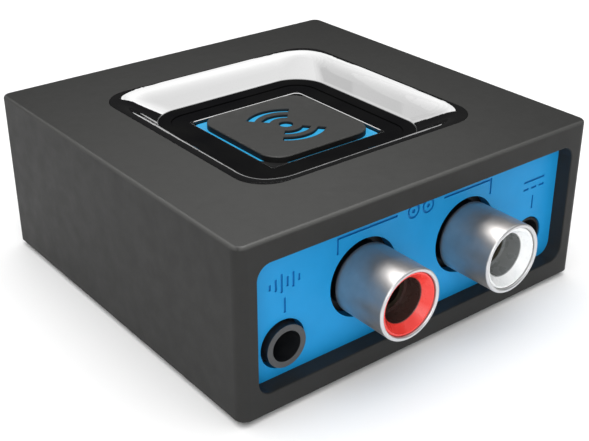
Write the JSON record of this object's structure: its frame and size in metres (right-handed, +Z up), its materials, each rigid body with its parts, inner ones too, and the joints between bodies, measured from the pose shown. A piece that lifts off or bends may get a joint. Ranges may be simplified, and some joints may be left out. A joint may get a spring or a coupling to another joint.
{
  "type": "bluetooth audio receiver",
  "caption": "Square desktop wireless audio receiver with a glossy dish and pairing button on top and phono, headphone and power sockets in a recessed panel.",
  "frame": {"origin": "centre of the foot pad's underside, on the surface that the object stands on", "axes": "+Z up through the button; -Y is the way the socket panel faces; +X is to the right when looking at the sockets from the front"},
  "size_m": [0.051, 0.0563, 0.0211],
  "materials": {
    "case_plastic": "fine matte texture",
    "cover_plastic": "fine matte texture",
    "foot_rubber": "matt",
    "screw_steel": "black oxide",
    "gloss_black": "high gloss",
    "cap_plastic": "fine matte texture",
    "blue_diffuser": "translucent satin",
    "white_plastic": "satin",
    "black_resin": "moulded satin",
    "spring_steel": "bright",
    "switch_plunger_plastic": "moulded satin",
    "tin_plate": "tin plated",
    "blue_plastic": "satin",
    "red_plastic": "satin gloss",
    "pale_plastic": "satin gloss",
    "plated_barrel": "satin nickel plate",
    "contact_brass": "bright",
    "board_laminate": "solder mask",
    "chip_epoxy": "moulded",
    "antenna_ceramic": "ceramic",
    "ferrite": "sintered",
    "capacitor_can": "sleeveless can",
    "lamp_plastic": "moulded"
  },
  "bodies": {
    "case": {"main_housing": "case_plastic", "base_cover": "cover_plastic", "foot_pad": "foot_rubber", "housing_screws": "screw_steel", "dish_bezel": "gloss_black", "light_shroud": "white_plastic", "switch_base": "black_resin", "switch_dome": "spring_steel", "switch_frame": "tin_plate", "io_panel": "blue_plastic", "rca_base": "black_resin", "aux_jack_body": "black_resin", "aux_tip_contact": "contact_brass", "aux_sleeve_contact": "contact_brass", "aux_ring_contact": "contact_brass", "dc_jack_body": "black_resin", "dc_spring_contact": "contact_brass", "dc_center_pin": "contact_brass", "main_board": "board_laminate", "shield_can": "tin_plate", "bluetooth_chip": "chip_epoxy", "audio_codec_chip": "chip_epoxy", "clock_crystal": "tin_plate", "chip_antenna": "antenna_ceramic", "voltage_regulator": "chip_epoxy", "power_inductor": "ferrite", "output_capacitor_left": "capacitor_can", "output_capacitor_right": "capacitor_can", "supply_capacitor": "capacitor_can", "lamp_front_left": "lamp_plastic", "lamp_front_right": "lamp_plastic", "lamp_rear_left": "lamp_plastic", "lamp_rear_right": "lamp_plastic", "rca_shell_left": "plated_barrel", "rca_insulator_left": "red_plastic", "rca_contact_left": "contact_brass", "rca_shell_right": "plated_barrel", "rca_insulator_right": "pale_plastic", "rca_contact_right": "contact_brass"},
    "button": {"button_cap": "cap_plastic", "button_diffuser": "blue_diffuser"},
    "switch_plunger_body": {"switch_plunger": "switch_plunger_plastic"}
  },
  "joints": [
    {"name": "button_press", "type": "slide", "parent": "case", "child": "button", "axis": [0, 0, -1], "range_m": [0, 0.00035], "stiffness_N_per_m": 1500, "springref_m": -0.0005},
    {"name": "switch_press", "type": "slide", "parent": "case", "child": "switch_plunger_body", "axis": [0, 0, -1], "range_m": [0, 0.00035], "stiffness_N_per_m": 300, "springref_m": -0.0005, "deforming": ["switch_dome"]}
  ],
  "couplings": [
    {"joint": "switch_press", "follows": "button_press", "ratio": 1}
  ]
}
